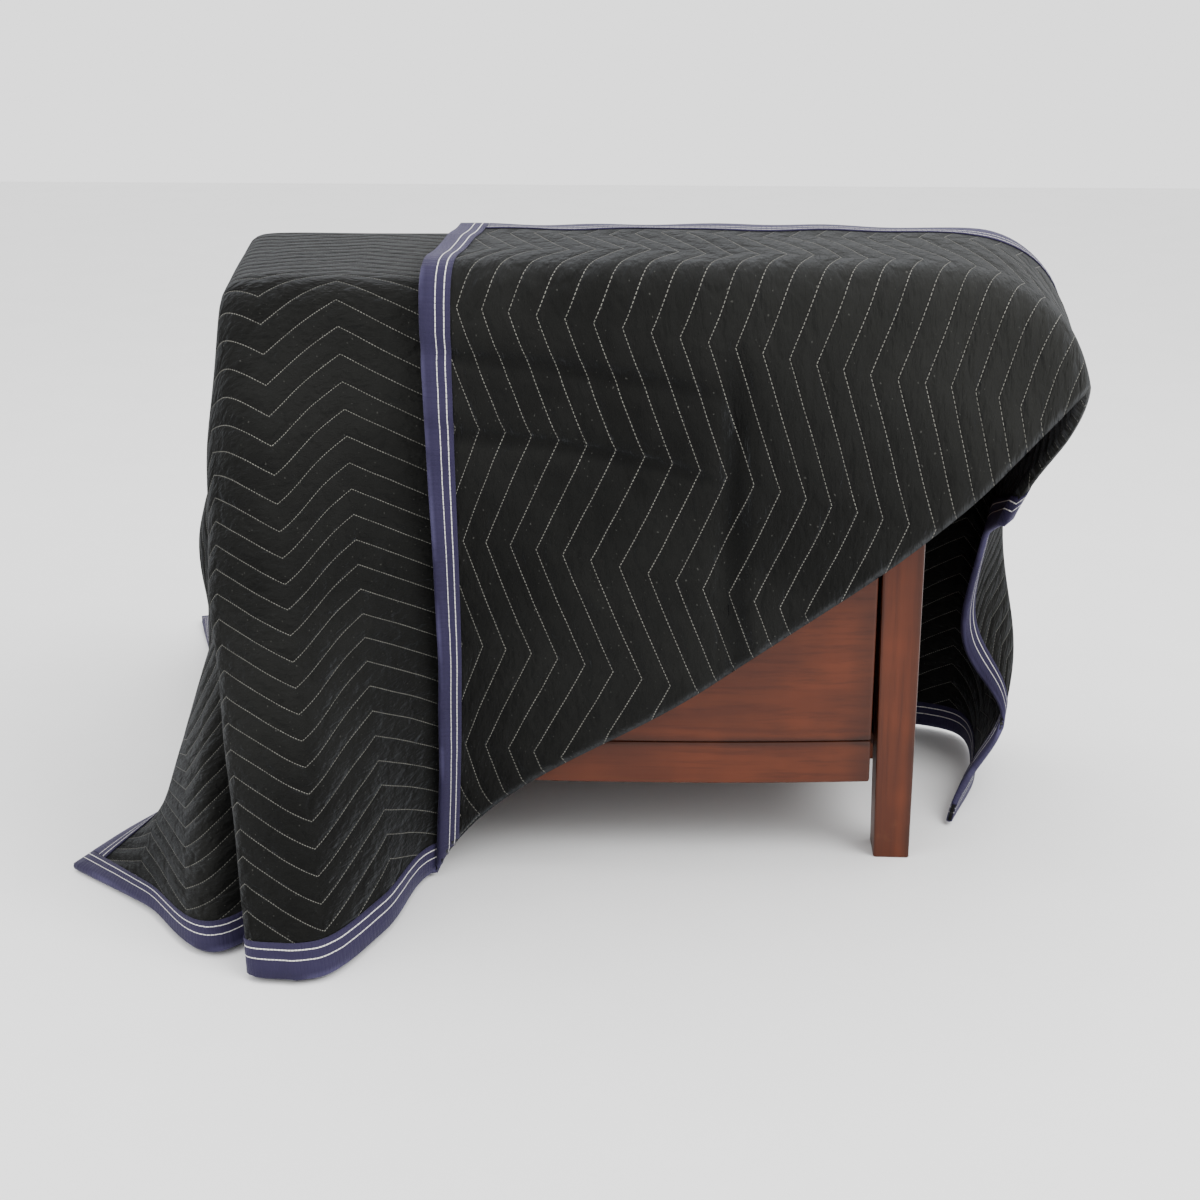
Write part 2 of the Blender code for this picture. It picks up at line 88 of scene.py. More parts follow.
# %% The blanket's flat measures
LENGTH, WIDTH, CELL = 2.032, 1.8288, 0.0508
COLS, ROWS, FINE = 40, 36, 5
THICK = 0.0042
FOLD_COL = 20
LAYER_AT_FOLD, LAYER_AT_HEM, LAYER_GROWS = 0.009, 0.020, 8.0
LINES = {"front": 0, "shin": 5, "knee": 10, "brow": 14, "nape": 22, "calf": 29, "back": 36}
CREASE_LINES, CREASE_COLS = (14, 22), (14, 31)
DRAPE = [
    {"col": 0, "front": (-0.577, -0.273, 0.006), "shin": (-0.494, -0.045, 0.006),
     "knee": (-0.512, 0.090, 0.006), "brow": (-0.515, 0.150, 0.006),
     "nape": (-0.545, 0.330, 0.006), "calf": (-0.590, 0.460, 0.006), "back": (-0.650, 0.625, 0.006)},
    {"col": 3, "front": (-0.465, -0.365, 0.006), "shin": (-0.476, -0.180, 0.085),
     "knee": (-0.482, 0.000, 0.120), "brow": (-0.480, 0.060, 0.150),
     "nape": (-0.492, 0.270, 0.150), "calf": (-0.568, 0.375, 0.120), "back": (-0.600, 0.600, 0.006)},
    {"col": 6, "front": (-0.352, -0.468, 0.006), "shin": (-0.402, -0.310, 0.165),
     "knee": (-0.440, -0.120, 0.260), "brow": (-0.448, -0.040, 0.300),
     "nape": (-0.462, 0.230, 0.300), "calf": (-0.560, 0.335, 0.250), "back": (-0.540, 0.545, 0.006)},
    {"col": 8, "front": (-0.285, -0.352, 0.006), "shin": (-0.358, -0.303, 0.188),
     "knee": (-0.414, -0.188, 0.335), "brow": (-0.428, -0.105, 0.395),
     "nape": (-0.455, 0.208, 0.395), "calf": (-0.550, 0.410, 0.300), "back": (-0.510, 0.560, 0.006)},
    {"col": 10, "front": (-0.258, -0.378, 0.006), "shin": (-0.335, -0.318, 0.212),
     "knee": (-0.394, -0.245, 0.400), "brow": (-0.402, -0.160, 0.490),
     "nape": (-0.446, 0.198, 0.490), "calf": (-0.480, 0.415, 0.335), "back": (-0.475, 0.520, 0.006)},
    {"col": 12, "front": (-0.312, -0.508, 0.006), "shin": (-0.350, -0.405, 0.235),
     "knee": (-0.382, -0.300, 0.450), "brow": (-0.388, -0.212, 0.588),
     "nape": (-0.440, 0.190, 0.595), "calf": (-0.430, 0.310, 0.345), "back": (-0.405, 0.370, 0.006)},
    {"col": 14, "front": (-0.258, -0.528, 0.006), "shin": (-0.300, -0.425, 0.245),
     "knee": (-0.342, -0.310, 0.475), "brow": (-0.374, -0.214, 0.686),
     "nape": (-0.430, 0.190, 0.6945), "calf": (-0.385, 0.238, 0.345), "back": (-0.345, 0.280, 0.006)},
    {"col": 15, "front": (-0.230, -0.515, 0.006), "shin": (-0.268, -0.420, 0.245),
     "knee": (-0.306, -0.306, 0.475), "brow": (-0.334, -0.219, 0.696),
     "nape": (-0.381, 0.189, 0.696), "calf": (-0.350, 0.232, 0.345), "back": (-0.322, 0.262, 0.006)},
    {"col": 17, "front": (-0.185, -0.415, 0.006), "shin": (-0.220, -0.352, 0.250),
     "knee": (-0.248, -0.280, 0.487), "brow": (-0.268, -0.225, 0.697),
     "nape": (-0.280, 0.187, 0.696), "calf": (-0.275, 0.218, 0.345), "back": (-0.268, 0.240, 0.006)},
    {"col": 20, "front": (-0.148, -0.262, 0.006), "shin": (-0.142, -0.252, 0.250),
     "knee": (-0.144, -0.243, 0.493), "brow": (-0.146, -0.232, 0.698),
     "nape": (-0.138, 0.186, 0.697), "calf": (-0.130, 0.210, 0.345), "back": (-0.130, 0.225, 0.006)},
    {"col": 26, "front": (0.180, -0.262, 0.000), "shin": (0.172, -0.254, 0.225),
     "knee": (0.172, -0.243, 0.477), "brow": (0.172, -0.232, 0.699),
     "nape": (0.180, 0.186, 0.700), "calf": (0.180, 0.212, 0.345), "back": (0.180, 0.230, 0.006)},
    {"col": 31, "front": (0.430, -0.258, -0.020), "shin": (0.425, -0.254, 0.200),
     "knee": (0.430, -0.248, 0.440), "brow": (0.438, -0.228, 0.696),
     "nape": (0.455, 0.190, 0.700), "calf": (0.445, 0.215, 0.345), "back": (0.440, 0.235, 0.006)},
    {"col": 32, "front": (0.490, -0.256, -0.050), "shin": (0.480, -0.254, 0.175),
     "knee": (0.478, -0.252, 0.425), "brow": (0.482, -0.236, 0.690),
     "nape": (0.504, 0.190, 0.698), "calf": (0.478, 0.225, 0.340), "back": (0.460, 0.240, 0.006)},
    {"col": 34, "front": (0.590, -0.250, -0.110), "shin": (0.580, -0.250, 0.130),
     "knee": (0.558, -0.252, 0.390), "brow": (0.553, -0.248, 0.635),
     "nape": (0.572, 0.188, 0.662), "calf": (0.535, 0.220, 0.330), "back": (0.525, 0.205, 0.006)},
    {"col": 37, "front": (0.660, -0.230, -0.200), "shin": (0.650, -0.230, 0.030),
     "knee": (0.620, -0.230, 0.290), "brow": (0.585, -0.215, 0.510),
     "nape": (0.575, 0.160, 0.500), "calf": (0.552, 0.165, 0.255), "back": (0.525, 0.060, 0.006)},
    {"col": 40, "front": (0.680, -0.210, -0.300), "shin": (0.670, -0.210, -0.100),
     "knee": (0.640, -0.210, 0.150), "brow": (0.556, -0.150, 0.440),
     "nape": (0.530, 0.095, 0.330), "calf": (0.495, 0.080, 0.150), "back": (0.475, -0.090, 0.006)},
]
PULL, PULL_COLS, PULL_LINES = 1.1, (20, 31), (15, 22)
SIDE_WAVE, SIDE_WAVE_CELLS = 0.024, 5.5
BACK_WAVE, BACK_WAVE_CELLS = 0.014, 6.0
KICK, KICK_LINE, KICK_HALF = 0.070, 31.5, 2.7
print("table:", len(DRAPE), "columns of", len(LINES), "places")


# %% Smooth curves through the table
def curve(at, knots, places):
    """The point at `at` on a smooth line through places, which it reaches at knots."""
    steps = np.diff(knots)
    slopes = np.diff(places, axis=0) / steps[:, None]
    tangents = np.empty_like(places)
    tangents[0], tangents[-1] = slopes[0], slopes[-1]
    share = (steps[1:] / (steps[1:] + steps[:-1]))[:, None]
    tangents[1:-1] = share * slopes[:-1] + (1 - share) * slopes[1:]
    k = int(np.clip(np.searchsorted(knots, at, side="right") - 1, 0, len(steps) - 1))
    w = (at - knots[k]) / steps[k]
    start = (1 + 2 * w) * (1 - w) ** 2 * places[k] + w * (1 - w) ** 2 * steps[k] * tangents[k]
    end = w * w * (3 - 2 * w) * places[k + 1] - w * w * (1 - w) * steps[k] * tangents[k + 1]
    return start + end


def creased_curve(at, knots, places, creases):
    """The same, with a sharp turn at each crease."""
    low = max([c for c in creases if c <= at], default=knots[0])
    high = min([c for c in creases if c > at], default=knots[-1])
    inside = (knots >= low) & (knots <= high)
    return curve(at, knots[inside], places[inside])


def waves(col, line):
    """How far the folds of the hanging cloth stand from its smooth shape."""
    side = np.clip(1 - col / CREASE_COLS[0], 0, 1) * np.clip(min(line - 6, 30 - line) / 6, 0, 1)
    behind = np.clip((line - CREASE_LINES[1]) / (ROWS - CREASE_LINES[1]), 0, 1)
    kick = np.clip((col - 34) / (COLS - 34), 0, 1) * np.exp(-((line - KICK_LINE) / KICK_HALF) ** 2)
    x = SIDE_WAVE * side * (1 - np.sin(2 * np.pi * line / SIDE_WAVE_CELLS)) + KICK * kick
    fades = np.clip((32 - col) / 3, 0, 1)
    y = BACK_WAVE * behind * (1 + np.sin(2 * np.pi * col / BACK_WAVE_CELLS)) * fades
    return np.array([x, y, 0.0])


KNOTS = np.array(list(LINES.values()), float)
TABLE_COLS = np.array([row["col"] for row in DRAPE], float)
TABLE = [np.array([row[name] for name in LINES], float) for row in DRAPE]


def drape(col, line):
    """The place of the cloth's middle, before its corner is folded back."""
    ramp = np.clip((col - PULL_COLS[0]) / (PULL_COLS[1] - PULL_COLS[0]), 0, 1)
    held = np.clip((PULL_LINES[1] - line) / (PULL_LINES[1] - PULL_LINES[0]), 0, 1)
    line = line - PULL * ramp * ramp * (3 - 2 * ramp) * held
    along = [creased_curve(line, KNOTS, places, CREASE_LINES) for places in TABLE]
    return creased_curve(col, TABLE_COLS, np.array(along), CREASE_COLS) + waves(col, line)


# %% [markdown]
# The chest's edges would fold thin cloth sharply, but wadding makes a soft turn. Every point near
# such an edge is pulled a few times towards the average of its neighbours. Small dents and
# creases are then added: a soft upright crease and two level ones on the folded-back corner,
# like those that folding for storage leaves.

# %% A fine grid of places
SOFT_CELLS, RIGHT_SOFT_CELLS = 1.1, 1.2  # how far from an edge the softening reaches
RIGHT_SOFT = 0.8                         # the right edge is softened a little less
HEM_KEPT = 2.0                           # cells beside a hem where the softening fades out
SOFT_PASSES = 7
NI, NJ = COLS * FINE, ROWS * FINE
smooth = np.array([[drape(i / FINE, j / FINE) for j in range(NJ + 1)] for i in range(NI + 1)])
cols, lines = np.meshgrid(np.arange(NI + 1) / FINE, np.arange(NJ + 1) / FINE, indexing="ij")
brow, nape = CREASE_LINES
left_edge, right_edge = CREASE_COLS
ramp = np.clip((cols - PULL_COLS[0]) / (PULL_COLS[1] - PULL_COLS[0]), 0, 1)
pull_now = PULL * ramp ** 2 * (3 - 2 * ramp)
soft = np.maximum(np.exp(-((lines - brow - pull_now) / SOFT_CELLS) ** 2),
                  np.exp(-((lines - nape) / SOFT_CELLS) ** 2))
soft = np.maximum(soft, np.exp(-((cols - left_edge) / SOFT_CELLS) ** 2))
soft = np.maximum(soft, RIGHT_SOFT * np.exp(-((cols - right_edge) / RIGHT_SOFT_CELLS) ** 2))
soft = (soft * np.clip(lines / HEM_KEPT, 0, 1) * np.clip((ROWS - lines) / HEM_KEPT, 0, 1))[..., None]
for _ in range(SOFT_PASSES):
    blurred = smooth.copy()
    blurred[1:-1] = (smooth[:-2] + 2 * smooth[1:-1] + smooth[2:]) / 4
    once = blurred.copy()
    blurred[:, 1:-1] = (once[:, :-2] + 2 * once[:, 1:-1] + once[:, 2:]) / 4
    smooth = smooth + (blurred - smooth) * soft
print("grid:", smooth.shape[:2], "softened by up to", round(float(soft.max()), 2))


# %% Outward directions
def unit(vectors):
    return vectors / np.linalg.norm(vectors, axis=-1, keepdims=True)


def facing(grid):
    """The outward direction at each point of a grid of places, from the triangles round it."""
    total = np.zeros_like(grid)
    across = np.cross(grid[1:, :-1] - grid[:-1, :-1], grid[1:, 1:] - grid[:-1, :-1])
    upward = np.cross(grid[1:, 1:] - grid[:-1, :-1], grid[:-1, 1:] - grid[:-1, :-1])
    sides = ((unit(across), ((0, 0), (1, 0), (1, 1))), (unit(upward), ((0, 0), (1, 1), (0, 1))))
    for normal, corners in sides:
        for i, j in corners:
            total[i:i + normal.shape[0], j:j + normal.shape[1]] += normal
    return unit(total)


outward = facing(smooth)
print("directions for", outward.shape[0] * outward.shape[1], "points")


# %% [markdown]
# The corner is folded back along a line at 45 degrees, which starts on the front hem at half the
# blanket's length. Folding swaps the two flat measures: what lay beyond the line comes to lie as far
# on its other side, turned over, one layer further out. So the same places serve both layers.

# %% Creases and dents
def pinch(distance, depth, width):
    """A crease in padded cloth: a narrow dip between two soft shoulders."""
    return depth * (np.exp(-(distance / (3 * width)) ** 2) - 1.5 * np.exp(-(distance / width) ** 2))


def flap_relief(col, line):
    """How far the folded-back corner stands out from a smooth layer, at the place that it covers."""
    s, t = col * CELL, line * CELL
    height = np.clip((t - 0.18) / 0.08, 0, 1) * np.clip((0.70 - t) / 0.08, 0, 1)
    upright = pinch(s - 1.350 - 0.010 * np.sin(t * 11), 0.0105, 0.013) * height
    left = np.clip((1.34 - s) / 0.10, 0, 1)
    level = pinch(t - 0.640 - 0.008 * np.sin(s * 9), 0.0060, 0.012) * left
    level += pinch(t - 0.548 - 0.006 * np.sin(s * 7), 0.0070, 0.012) * left
    dents = 0.0020 * np.sin(s * 31 + 2.1 * np.sin(t * 13)) * np.sin(t * 27 + 1.7 * np.sin(s * 11))
    return upright + level + dents


def main_relief(col, line):
    """The same for the layer that lies on the chest."""
    s, t = col * CELL, line * CELL
    dents = 0.0020 * np.sin(s * 29 + 1.9 * np.sin(t * 9)) * np.sin(t * 23 + 1.6 * np.sin(s * 12))
    clear = np.clip(np.minimum(line, 12 - line) / 3, 0, 1) * np.clip((19 - col) / 3, 0, 1)
    return dents * clear


FOLD_START = FOLD_COL * FINE
RELIEF_STARTS = 12  # grid steps past the fold where the relief is whole
middle = smooth + outward * main_relief(cols, lines)[..., None]
base = middle.copy()
upper = outward.copy()
for i in range(FOLD_START, NI + 1):
    for j in range(NI - FOLD_START + 1):
        past = i - j - FOLD_START
        if past < 0:
            continue
        under = (FOLD_START + j, i - FOLD_START)
        if past == 0:
            middle[i, j] = base[i, j] + outward[i, j] * LAYER_AT_FOLD / 2
            back, up = base[i - 1, j] - base[i, j], base[i, j + 1] - base[i, j]
            upper[i, j] = unit(unit(back) + unit(up))
        else:
            grown = min(1.0, past / FINE / LAYER_GROWS)
            lift = LAYER_AT_FOLD + (LAYER_AT_HEM - LAYER_AT_FOLD) * grown
            relief = flap_relief(under[0] / FINE, under[1] / FINE) * min(1.0, past / RELIEF_STARTS)
            middle[i, j] = base[under] + outward[under] * (lift + relief)
            upper[i, j] = -outward[under]
middle -= np.array([MIDDLE_X, MIDDLE_Y, 0.0])
print("lowest point of the cloth's middle:", round(float(middle[..., 2].min()), 4))


# %% [markdown]
# The sheet is a closed shell: the grid of places pushed out to both sides by half of the cloth's
# thickness, with a narrow wall round its edge. A modifier could thicken a flat sheet too, but at a
# tight fold the direction of the thickness has to turn with the cloth, which is known here.

# %% Shells from a grid of places
def grid_triangles(ni, nj):
    faces = []
    for i in range(ni - 1):
        for j in range(nj - 1):
            a, b, c, d = (i, j), (i + 1, j), (i + 1, j + 1), (i, j + 1)
            faces += [(a, b, c), (a, c, d)]
    return faces


def border(ni, nj):
    """The grid's edge, walked so that the cloth is on the left."""
    return ([(i, 0) for i in range(ni - 1)] + [(ni - 1, j) for j in range(nj - 1)]
            + [(i, nj - 1) for i in range(ni - 1, 0, -1)] + [(0, j) for j in range(nj - 1, 0, -1)])


def shell(name, high, low, flat):
    """A closed sheet between two grids of places. flat is each grid point's flat measure, for the UV map."""
    ni, nj = high.shape[:2]

    def top(point):
        return point[0] * nj + point[1]

    def under(point):
        return ni * nj + top(point)

    faces = []
    for a, b, c in grid_triangles(ni, nj):
        faces.append((top(a), top(b), top(c)))
        faces.append((under(c), under(b), under(a)))
    ring = border(ni, nj)
    for a, b in zip(ring, ring[1:] + ring[:1]):
        faces.append((top(a), under(a), under(b)))
        faces.append((top(a), under(b), top(b)))
    points = np.concatenate([high.reshape(-1, 3), low.reshape(-1, 3)])
    mesh = bpy.data.meshes.new(name)
    mesh.from_pydata(points.tolist(), [], faces)
    uv = mesh.uv_layers.new(name="flat")
    both = np.concatenate([flat.reshape(-1, 2), flat.reshape(-1, 2)])
    corners = np.empty(len(mesh.loops), np.int32)
    mesh.loops.foreach_get("vertex_index", corners)
    uv.data.foreach_set("uv", both[corners].astype(np.float32).ravel())
    mesh.shade_smooth()
    obj = bpy.data.objects.new(name, mesh)
    bpy.context.scene.collection.objects.link(obj)
    print(name, len(mesh.polygons), "triangles")
    return obj


# %% [markdown]
# The blanket itself. Its flat measure goes into a UV map in metres, so the stitch pattern can later
# be drawn at its true size and will follow every fold.

# %% The blanket
s_flat, t_flat = cols * CELL, lines * CELL
flat_map = np.stack([s_flat, t_flat], axis=-1)
quilt = shell("quilted_blanket", middle + upper * THICK / 2, middle - upper * THICK / 2, flat_map)
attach(quilt, "root")
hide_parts("blanket")

# %% [markdown]
# The binding is one tape folded over each hem and sewn through with two rows of white thread. It
# copies the cloth beneath it, a hair further out on both faces, and turns round the hem's edge.

# %% Sampling between grid points
TAPE_WIDTH, TAPE_THICK, TAPE_GAP, TAPE_END_GAP = 0.036, 0.0011, 0.0005, 0.0010
ACROSS = [0.0, 1.0, 2.0, 3.0, TAPE_WIDTH / CELL * FINE]  # grid steps from the hem
RIM_OUTSIDE, RIM_INSIDE = 1.3, 0.2                       # the turn round the hem, in tape thicknesses
RIM_TURN = 0.003


def sample(grid, i, j):
    """A grid's value between its points."""
    i0, j0 = min(int(i), grid.shape[0] - 2), min(int(j), grid.shape[1] - 2)
    u, v = i - i0, j - j0
    near = grid[i0, j0] * (1 - u) + grid[i0 + 1, j0] * u
    far = grid[i0, j0 + 1] * (1 - u) + grid[i0 + 1, j0 + 1] * u
    return near * (1 - v) + far * v


def tape(name, node, along, place, flipped):
    """The tape over one hem. place turns (along, across) into a place on the cloth's grid, and flipped
    says that it mirrors the grid, so that every tape's faces point outwards."""
    mids = np.array([[sample(middle, *place(a, c)) for c in ACROSS] for a in along])
    ups = unit(np.array([[sample(upper, *place(a, c)) for c in ACROSS] for a in along]))
    out = unit(mids[:, 0] - mids[:, 1])
    near, far = THICK / 2 + TAPE_GAP, THICK / 2 + TAPE_GAP + TAPE_THICK
    inner = len(ACROSS) - 1
    outside, inside, widths = [], [], []
    for c in range(inner, -1, -1):
        lip = out * TAPE_GAP if c == 0 else 0.0
        outside.append(mids[:, c] + lip + ups[:, c] * far)
        inside.append(mids[:, c] + lip + ups[:, c] * near)
        widths.append(TAPE_WIDTH - ACROSS[c] * CELL / FINE)
    outside.append(mids[:, 0] + out * (TAPE_GAP + TAPE_THICK * RIM_OUTSIDE))
    inside.append(mids[:, 0] + out * (TAPE_GAP + TAPE_THICK * RIM_INSIDE))
    widths.append(TAPE_WIDTH + RIM_TURN)
    for c in range(inner + 1):
        lip = out * TAPE_GAP if c == 0 else 0.0
        outside.append(mids[:, c] + lip - ups[:, c] * far)
        inside.append(mids[:, c] + lip - ups[:, c] * near)
        widths.append(TAPE_WIDTH - ACROSS[c] * CELL / FINE)
    high, low = np.stack(outside, axis=1), np.stack(inside, axis=1)
    run = np.array(along) * CELL / FINE
    flat = np.stack(np.meshgrid(run, np.array(widths), indexing="ij"), axis=-1)
    if not flipped:
        high, low, flat = high[::-1], low[::-1], flat[::-1]
    obj = shell(name, high, low, flat)
    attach(obj, "root")
    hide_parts(node)
    return obj


# %% The four tapes
start = TAPE_WIDTH / CELL * FINE + TAPE_END_GAP / CELL * FINE
short_run = [start] + list(range(int(start) + 1, int(NJ - start) + 1)) + [NJ - start]
tapes = [
    tape("front_tape", "binding_front", list(range(NI + 1)), lambda a, c: (a, c), False),
    tape("back_tape", "binding_back", list(range(NI + 1)), lambda a, c: (a, NJ - c), True),
    tape("left_tape", "binding_left", short_run, lambda a, c: (c, a), True),
    tape("right_tape", "binding_right", short_run, lambda a, c: (NI - c, a), False),
]

# %% [markdown]
# Shader patterns are easier to read as sums than as a web of nodes. This class wraps one socket, so
# that a + b or 1 - mask adds the Math node that does it.

# %% Shader maths
class Value:
    def __init__(self, tree, socket):
        self.tree, self.socket = tree, socket

    def node(self, kind, settings=None, inputs=None):
        """Any other node: its type, its settings, and the values or links of its sockets."""
        made = self.tree.nodes.new(kind)
        for key, value in (settings or {}).items():
            setattr(made, key, value)
        for key, value in (inputs or {}).items():
            if isinstance(value, Value):
                self.tree.links.new(value.socket, made.inputs[key])
            else:
                made.inputs[key].default_value = value
        return made

    def math(self, operation, other=None, flip=False):
        """A Math node on this value and another, or on the other and this one if flip is set."""
        first, second = (other, self) if flip else (self, other)
        inputs = {k: v for k, v in enumerate((first, second)) if v is not None}
        made = self.node("ShaderNodeMath", {"operation": operation}, inputs)
        return Value(self.tree, made.outputs[0])

    def __add__(self, other):
        return self.math("ADD", other)

    def __radd__(self, other):
        return self.math("ADD", other, flip=True)

    def __sub__(self, other):
        return self.math("SUBTRACT", other)

    def __rsub__(self, other):
        return self.math("SUBTRACT", other, flip=True)

    def __mul__(self, other):
        return self.math("MULTIPLY", other)

    def __rmul__(self, other):
        return self.math("MULTIPLY", other, flip=True)

    def __truediv__(self, other):
        return self.math("DIVIDE", other)

    def band(self, low, high):
        """0 at low, 1 at high, and a smooth step between."""
        made = self.node("ShaderNodeMapRange", {"interpolation_type": "SMOOTHSTEP"},
                         {"Value": self, "From Min": low, "From Max": high})
        return Value(self.tree, made.outputs["Result"])

    def mix(self, first, second):
        """A colour between two, where self is the share of the second."""
        made = self.node("ShaderNodeMix", {"data_type": "RGBA"}, {"Factor": self, 6: first, 7: second})
        return Value(self.tree, made.outputs[2])

    def noise(self, scale, detail=2.0, roughness=0.5):
        """A noise read at this vector."""
        made = self.node("ShaderNodeTexNoise", {},
                         {"Vector": self, "Scale": scale, "Detail": detail, "Roughness": roughness})
        return Value(self.tree, made.outputs["Fac"])

    def stretched(self, scale):
        """This vector, scaled along each axis."""
        made = self.node("ShaderNodeMapping", {}, {"Vector": self, "Scale": scale})
        return Value(self.tree, made.outputs[0])

    def axes(self):
        """This vector's three parts."""
        made = self.node("ShaderNodeSeparateXYZ", {}, {"Vector": self})
        return [Value(self.tree, made.outputs[k]) for k in range(3)]


def colour(red, green, blue):
    return (red, green, blue, 1.0)


def new_material(name, constants):
    """A material, its shader, and the two kinds of coordinates that patterns read."""
    material = bpy.data.materials.new(name)
    material.use_nodes = True
    tree = material.node_tree
    shader = tree.nodes["Principled BSDF"]
    for key, value in constants.items():
        shader.inputs[key].default_value = value
    place = tree.nodes.new("ShaderNodeTexCoord")
    return material, tree, shader, Value(tree, place.outputs["Object"]), Value(tree, place.outputs["UV"])


def link(value, socket):
    """Feeds a socket from a value."""
    value.tree.links.new(value.socket, socket)


def bump(height, distance, strength, socket, below=None):
    """A Bump node of this height, in metres at distance 1, over another bump."""
    inputs = {"Height": height, "Distance": distance, "Strength": strength}
    if below is not None:
        inputs["Normal"] = below
    made = height.node("ShaderNodeBump", {}, inputs)
    if socket is not None:
        link(Value(height.tree, made.outputs[0]), socket)
    return Value(height.tree, made.outputs[0])


# %% [markdown]
# The quilted cloth. Its pattern is drawn from the flat measure in metres: rows of zigzags run along
# the blanket, and each row is dashed where the thread dives under. Between two rows the wadding
# swells, so the same distance to the nearest row also raises the surface. A real zigzag is even. Here
# it is shifted by about 0.1 m left of the fold, because the flat measure of this drape isn't exact
# there and the turns would otherwise hang in the wrong places. The folded-back corner also carries
# one upright and two level creases, a little sunk, with painted shade along them.

# %% The quilted cloth's material
HALF_WAVE, ROW_GAP, ZIGZAG = 0.130, 0.0285, 0.052  # a zigzag's half length, the rows' gap, its height
FIRST_DOWN, DRIFT = 0.663, 0.105  # where a row is lowest, and its shift at the left
DRIFT_FROM, DRIFT_TO = 1.02, 1.13
STITCH = 0.0042
THREAD_HALF, THREAD_EDGE = 0.00030, 0.00058
material, tree, shader, place, flat = new_material("quilted_cloth", {
    "Roughness": 0.85, "Sheen Weight": 0.06, "Sheen Roughness": 0.45,
    "Sheen Tint": colour(0.75, 0.80, 0.88), "Specular IOR Level": 0.10})
s, t, _ = flat.axes()
wander = (flat.noise(9.0, 2.0) - 0.5) * 0.004
drift = (1 - s.band(DRIFT_FROM, DRIFT_TO)) * DRIFT
phase = ((s - FIRST_DOWN - drift) / (2 * HALF_WAVE)).math("FRACT")
slant = 1 - (phase * 2 - 1).math("ABSOLUTE")
rows = (t + wander - slant * ZIGZAG) / ROW_GAP
row = rows.math("FLOOR")
apart = (rows.math("FRACT") - 0.5).math("ABSOLUTE") * ROW_GAP
steep = math.hypot(1.0, ZIGZAG / HALF_WAVE)
from_row = apart / steep
along = s * steep / STITCH + row * 0.37
stitch = (along.math("FRACT") - 0.5).math("ABSOLUTE")
on_thread = 1 - from_row.band(THREAD_HALF, THREAD_EDGE)
dash = 1 - stitch.band(0.30, 0.36)
thread = on_thread * dash
pucker = (1 - from_row.band(0.0, 0.0028)) * (1 - stitch.band(0.1, 0.5) * 0.35)
swell = from_row.band(0.0, 0.012)
fibres = flat.stretched((900.0, 900.0, 1.0)).noise(1.0, 3.0, 0.7)
pressed = flat.stretched((420.0, 420.0, 1.0)).noise(1.0, 2.0, 0.5)
broad = place.noise(3.2, 3.0, 0.55)
mottle = flat.noise(38.0, 3.0, 0.6)
lint = flat.noise(240.0, 1.0, 0.4).band(0.735, 0.775)
fluff = flat.stretched((60.0, 260.0, 1.0)).noise(1.0, 4.0, 0.7).band(0.70, 0.78)
dark = colour(0.0024, 0.0024, 0.0021)
# The lighter colour stands for worn cloth, and also for the painted sheen below.
worn_and_sheen = colour(0.0125, 0.0126, 0.0116)
x, _, z = place.axes()
# Painted sheen: a patch towards the right and the top of the chest is painted lighter, where light glances
# off the nap.
painted_sheen = x.band(0.12, 0.55) * z.band(0.35, 0.66)
tone = broad.band(0.35, 0.70) * 0.40 + mottle * 0.35 + fibres * 0.25 + painted_sheen * 0.85 - 0.20
cloth = tone.mix(dark, worn_and_sheen)
UPRIGHT_AT, LEVEL_AT = 0.334, (1.656, 1.564)
bend = (flat.noise(5.0, 2.0) - 0.5) * 0.05
on_fold = s.band(1.24, 1.32) * (1 - s.band(1.66, 1.74))
upright = (1 - (t - UPRIGHT_AT + bend).math("ABSOLUTE").band(0.001, 0.020)) * on_fold
reach = s.band(1.10, 1.20) * (1 - t.band(0.28, 0.34))
level = 1 - (s - LEVEL_AT[0] + bend * 0.7).math("ABSOLUTE").band(0.001, 0.013)
level = level + (1 - (s - LEVEL_AT[1] + bend * 0.6).math("ABSOLUTE").band(0.001, 0.013))
creases = upright + level * reach * 0.7
# Painted shade: the creases are painted darker, as shade would lie in them.
cloth = (creases * 0.55).mix(cloth, colour(0.0012, 0.0012, 0.0011))
cloth = (pucker * 0.55).mix(cloth, colour(0.006, 0.006, 0.006))
cloth = (lint * 0.30 + fluff * 0.06).mix(cloth, colour(0.10, 0.10, 0.09))
thread_tone = flat.noise(60.0, 2.0).mix(colour(0.050, 0.049, 0.041), colour(0.24, 0.235, 0.205))
cloth = thread.mix(cloth, thread_tone)
link(cloth, shader.inputs["Base Color"])
link(0.92 - broad * 0.12 - thread * 0.25, shader.inputs["Roughness"])
crumple = flat.stretched((1.0, 1.7, 1.0)).noise(13.0, 3.0, 0.55)
crumple = (crumple - 0.5).math("ABSOLUTE").band(0.0, 0.10)
crinkle = flat.stretched((1.0, 2.6, 1.0)).noise(34.0, 3.0, 0.6)
crinkle = (crinkle - 0.5).math("ABSOLUTE").band(0.0, 0.16)
wrinkles = bump(crumple * 0.7 + crinkle * 0.35, 0.0028, 0.9, None)
pressed_in = bump(1 - creases, 0.0055, 1.0, None, wrinkles)
puffs = bump(swell * 0.8 + swell * mottle * 0.6, 0.0019, 1.0, None, pressed_in)
fine = bump(fibres * 0.6 + pressed * 0.6, 0.00035, 0.8, None, puffs)
bump(thread - pucker * 0.8, 0.0011, 1.0, shader.inputs["Normal"], fine)
quilt.data.materials.append(material)
print("quilted cloth:", len(tree.nodes), "nodes")

# %% [markdown]
# The tape is a plain weave: threads of two directions, one over the other, which a product of waves
# gives. Its flat measure runs along the tape, and across it from the inner edge, so the two rows of
# stitches keep their distances. Faint creases lie across it, as where stitches pull a tape in.

